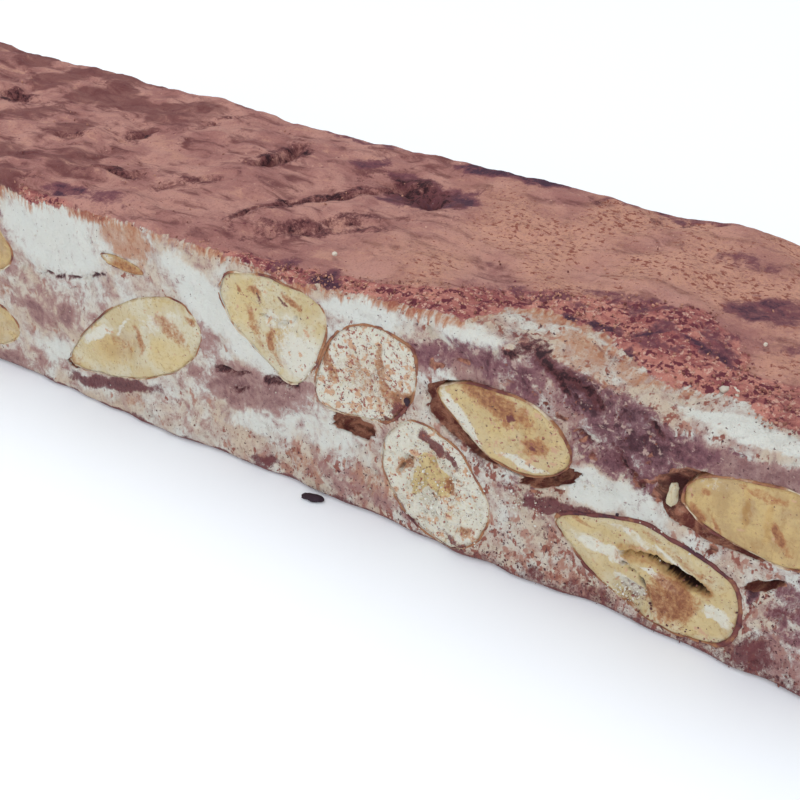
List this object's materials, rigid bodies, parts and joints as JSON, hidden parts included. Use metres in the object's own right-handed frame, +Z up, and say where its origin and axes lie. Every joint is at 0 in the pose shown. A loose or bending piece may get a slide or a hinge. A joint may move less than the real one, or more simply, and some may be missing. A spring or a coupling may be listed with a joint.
{
  "type": "nougat slice",
  "caption": "Long knife-cut slice of soft almond nougat, cocoa-dusted on top, with whole almonds cut through on its sides; lies flat on its underside.",
  "frame": {"origin": "middle of the underside's bounding rectangle, on the surface that the slice lies on", "axes": "+X along the slice to its right end as seen from the front cut, +Y from the front cut to the back cut, +Z up through the dusted top"},
  "size_m": [0.1617, 0.0386, 0.0295],
  "materials": {
    "nougat": "soft torn nougat, cream white marbled with mauve brown, matte and crumbly",
    "cocoa_dust": "dry cocoa powder, pinkish brown, fully matte, darker in the creases",
    "almond": "cut almond, pale yellow with tan stains and chalky patches, slightly waxy",
    "almond_skin": "thin dry almond skin, dark reddish brown"
  },
  "bodies": {
    "root": {"nougat": "nougat", "almond_front_left_a": "almond", "almond_front_left_b": "almond", "almond_front_left_c": "almond", "almond_front_edge_high": "almond", "almond_front_edge_low": "almond", "almond_front_long": "almond", "almond_front_sliver": "almond", "almond_front_split": "almond", "almond_front_leaning": "almond", "almond_front_chalky": "almond", "almond_front_loose": "almond", "almond_front_hollow": "almond", "almond_front_smooth": "almond", "almond_front_right": "almond", "almond_back_1": "almond", "almond_back_2": "almond", "almond_back_3": "almond", "almond_back_4": "almond", "almond_back_5": "almond", "almond_back_6": "almond", "almond_back_7": "almond", "almond_back_8": "almond", "almond_left_1": "almond", "almond_left_2": "almond", "almond_right_1": "almond", "almond_right_2": "almond"}
  },
  "joints": []
}
